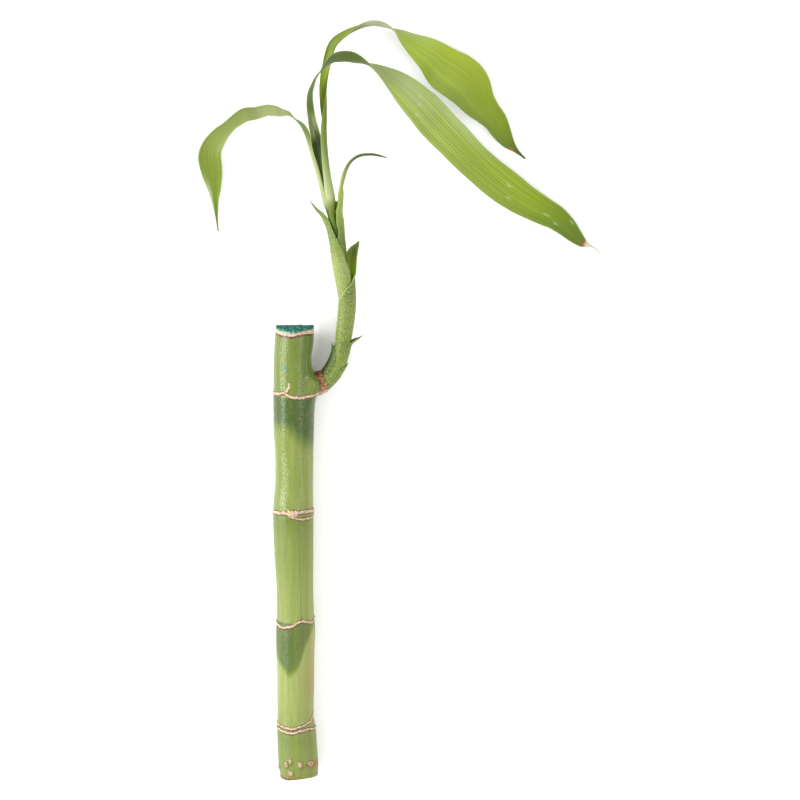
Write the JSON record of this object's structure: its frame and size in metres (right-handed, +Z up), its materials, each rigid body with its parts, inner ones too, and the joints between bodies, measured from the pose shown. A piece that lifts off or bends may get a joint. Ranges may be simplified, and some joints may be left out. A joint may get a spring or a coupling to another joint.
{
  "type": "lucky bamboo",
  "caption": "Cut cane of lucky bamboo with ringed nodes and a waxed upper end, lying on its side, with a leafy shoot that grows from its upper node and arches out.",
  "frame": {"origin": "middle of the footprint, on the surface that the cane lies on", "axes": "+Y up the cane towards the waxed end and the leaves, +X to the side that the shoot grows from, +Z up off the surface"},
  "size_m": [0.177, 0.344, 0.0188],
  "materials": {
    "cane_rind": "smooth, satin, living green",
    "wax": "dull sealing wax, teal",
    "dry_bark": "dry, wrinkled, brown",
    "stem_green": "smooth, satin, living green",
    "sheath_green": "smooth, satin, living green",
    "leaf_green": "smooth, satin, living green"
  },
  "bodies": {
    "root": {"cane": "cane_rind", "wax_seal": "wax", "bud_collar": "dry_bark", "shoot_stem": "stem_green", "scale_left": "sheath_green", "scale_right": "sheath_green", "bract_low": "sheath_green", "bract_right": "sheath_green", "bract_left": "sheath_green", "leaf_small": "sheath_green", "leaf_left": "leaf_green", "leaf_top": "leaf_green", "leaf_long": "leaf_green"}
  },
  "joints": []
}
